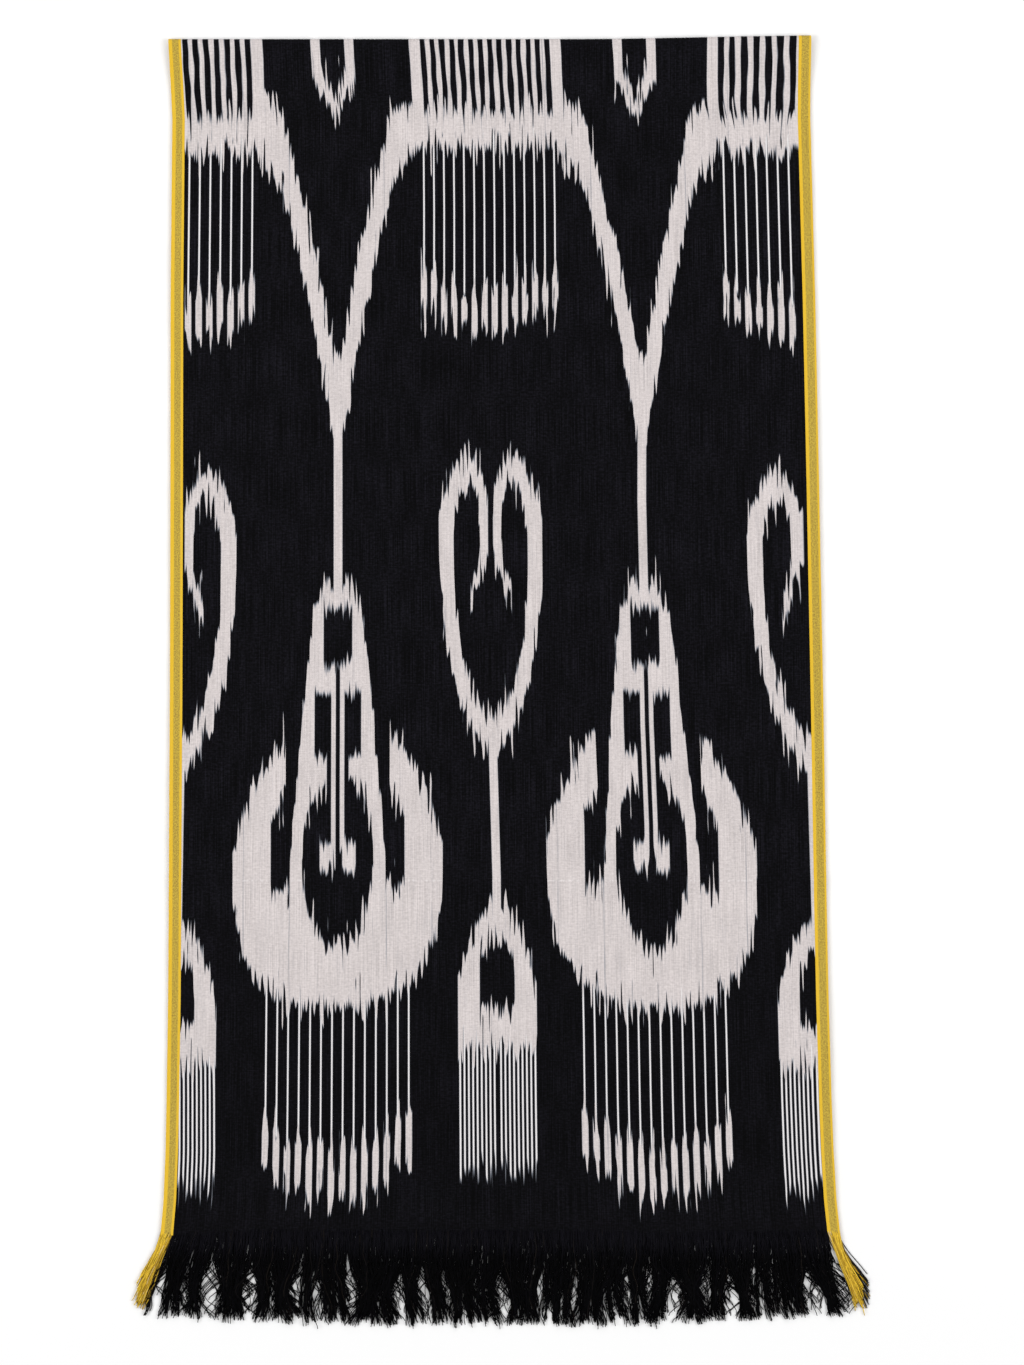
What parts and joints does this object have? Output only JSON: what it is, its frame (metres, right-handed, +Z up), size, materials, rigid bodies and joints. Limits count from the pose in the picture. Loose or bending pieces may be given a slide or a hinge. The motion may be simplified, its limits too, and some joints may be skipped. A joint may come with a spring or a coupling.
{
  "type": "silk scarf",
  "caption": "Narrow silk scarf folded across its length and laid flat, with a feathered dark and pale ikat pattern, yellow selvedges and fringed ends.",
  "frame": {"origin": "middle of the scarf's outline, on the surface that it lies on", "axes": "+X across the cloth to the right, +Y from the fringed ends towards the fold, +Z up off the surface"},
  "size_m": [0.5172, 0.909, 0.0056],
  "materials": {
    "ikat_silk": "soft low sheen of warp-faced silk",
    "selvedge_silk": "ribbed silk with a soft sheen",
    "fringe_silk": "loose untwisted silk threads"
  },
  "bodies": {
    "root": {"front_panel": "ikat_silk", "front_selvedge_left": "selvedge_silk", "front_selvedge_right": "selvedge_silk", "front_fringe": "fringe_silk", "front_tail_left": "selvedge_silk", "front_tail_right": "selvedge_silk", "back_panel": "ikat_silk", "back_selvedge_left": "selvedge_silk", "back_selvedge_right": "selvedge_silk", "back_fringe": "fringe_silk", "back_tail_left": "selvedge_silk", "back_tail_right": "selvedge_silk"}
  },
  "joints": []
}
